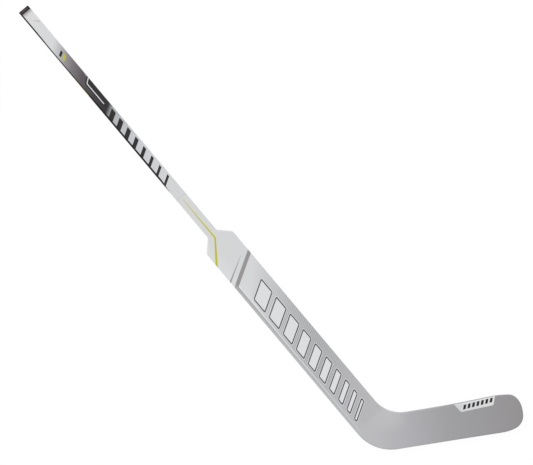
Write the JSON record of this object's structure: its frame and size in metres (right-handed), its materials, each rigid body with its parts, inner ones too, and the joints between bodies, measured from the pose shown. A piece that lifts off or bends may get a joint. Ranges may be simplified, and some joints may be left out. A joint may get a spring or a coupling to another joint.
{
  "type": "hockey goalie stick",
  "caption": "Ice hockey goalie stick: hollow shaft with a pull-out end plug, fused to a foam-cored paddle and a curved blade, lying on its back face.",
  "frame": {"origin": "on the flat back face, on the centreline, where the neck starts to widen into the paddle", "axes": "+X down the stick from the butt end to the heel, +Y across the paddle towards the blade, +Z out of the front face"},
  "size_m": [1.5948, 0.3625, 0.0315],
  "materials": {
    "painted_laminate": "satin clear coat over paint",
    "plug_plastic": "matte",
    "bare_laminate": "bare carbon laminate",
    "foam": "rigid foam",
    "dense_foam": "dense rigid foam"
  },
  "bodies": {
    "stick": {"shaft_tube": "painted_laminate", "joint_filler": "painted_laminate", "splice_tenon": "bare_laminate", "front_skin": "painted_laminate", "back_skin": "painted_laminate", "paddle_spine": "bare_laminate", "paddle_upper_core": "foam", "paddle_lower_core": "foam", "paddle_upper_rail": "bare_laminate", "paddle_lower_rail": "bare_laminate", "heel_block": "dense_foam", "blade_bridge": "bare_laminate", "blade_upper_core": "foam", "blade_lower_core": "foam", "blade_upper_rail": "bare_laminate", "blade_lower_rail": "bare_laminate"},
    "plug": {"end_plug": "plug_plastic"}
  },
  "joints": [
    {"name": "end_plug_pull", "type": "slide", "parent": "stick", "child": "plug", "axis": [-1, 0, 0], "range_m": [0, 0.06]}
  ]
}
